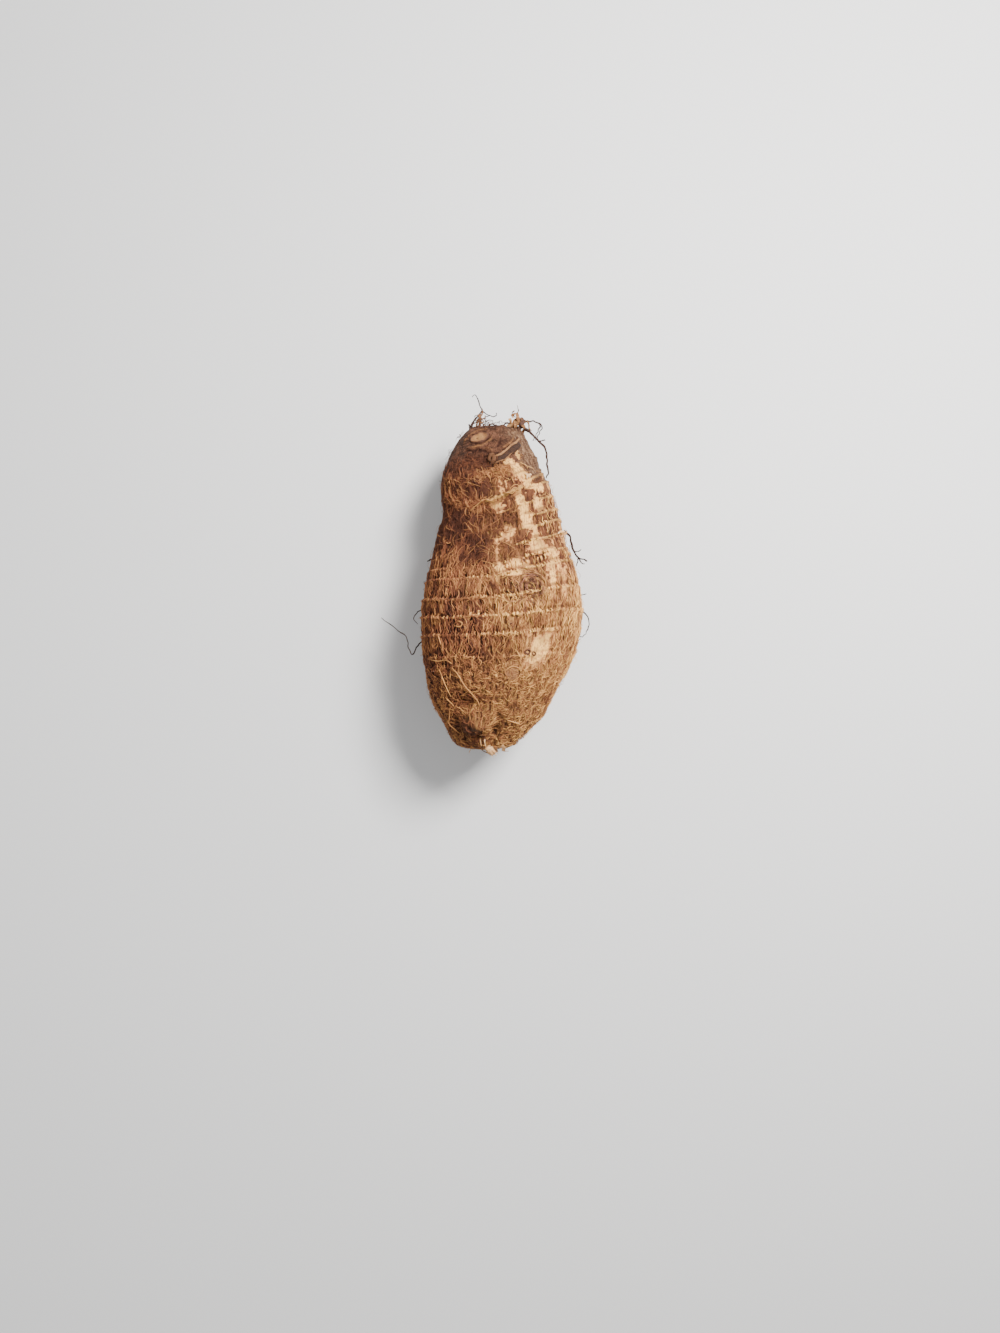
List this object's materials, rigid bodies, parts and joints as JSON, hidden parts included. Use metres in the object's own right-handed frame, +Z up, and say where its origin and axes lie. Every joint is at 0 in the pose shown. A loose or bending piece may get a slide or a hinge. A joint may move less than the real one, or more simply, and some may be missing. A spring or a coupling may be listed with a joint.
{
  "type": "taro corm",
  "caption": "Whole taro corm lying on its side, with shaggy brown ringed skin, a scarred crown, dry roots, a scrap of sheath and a broken stub at its base.",
  "frame": {"origin": "the middle of the flat patch that the corm rests on, under its centre of mass", "axes": "+Y along the corm from its base towards its crown, where the leaves grew; +Z up from the surface that it lies on; +X across it, towards the side with the thick crown root"},
  "size_m": [0.1184, 0.204, 0.0818],
  "materials": {
    "corm_skin": "dry, fibrous and matte, reddish brown, with cream patches where the fibre has rubbed off",
    "dry_root": "dry, wiry and matte, dark brown",
    "papery_sheath": "papery, dull and creased, tan to mauve brown",
    "torn_flesh": "dry, torn and matte, pale tan"
  },
  "bodies": {
    "root": {"corm": "corm_skin", "crown_root_left": "dry_root", "crown_root_right": "dry_root", "crown_root_loop": "dry_root", "side_root_right": "dry_root", "side_hair_right": "dry_root", "side_root_left": "dry_root", "leaf_scale": "papery_sheath", "sheath_remnant": "papery_sheath", "base_stub": "torn_flesh"}
  },
  "joints": []
}
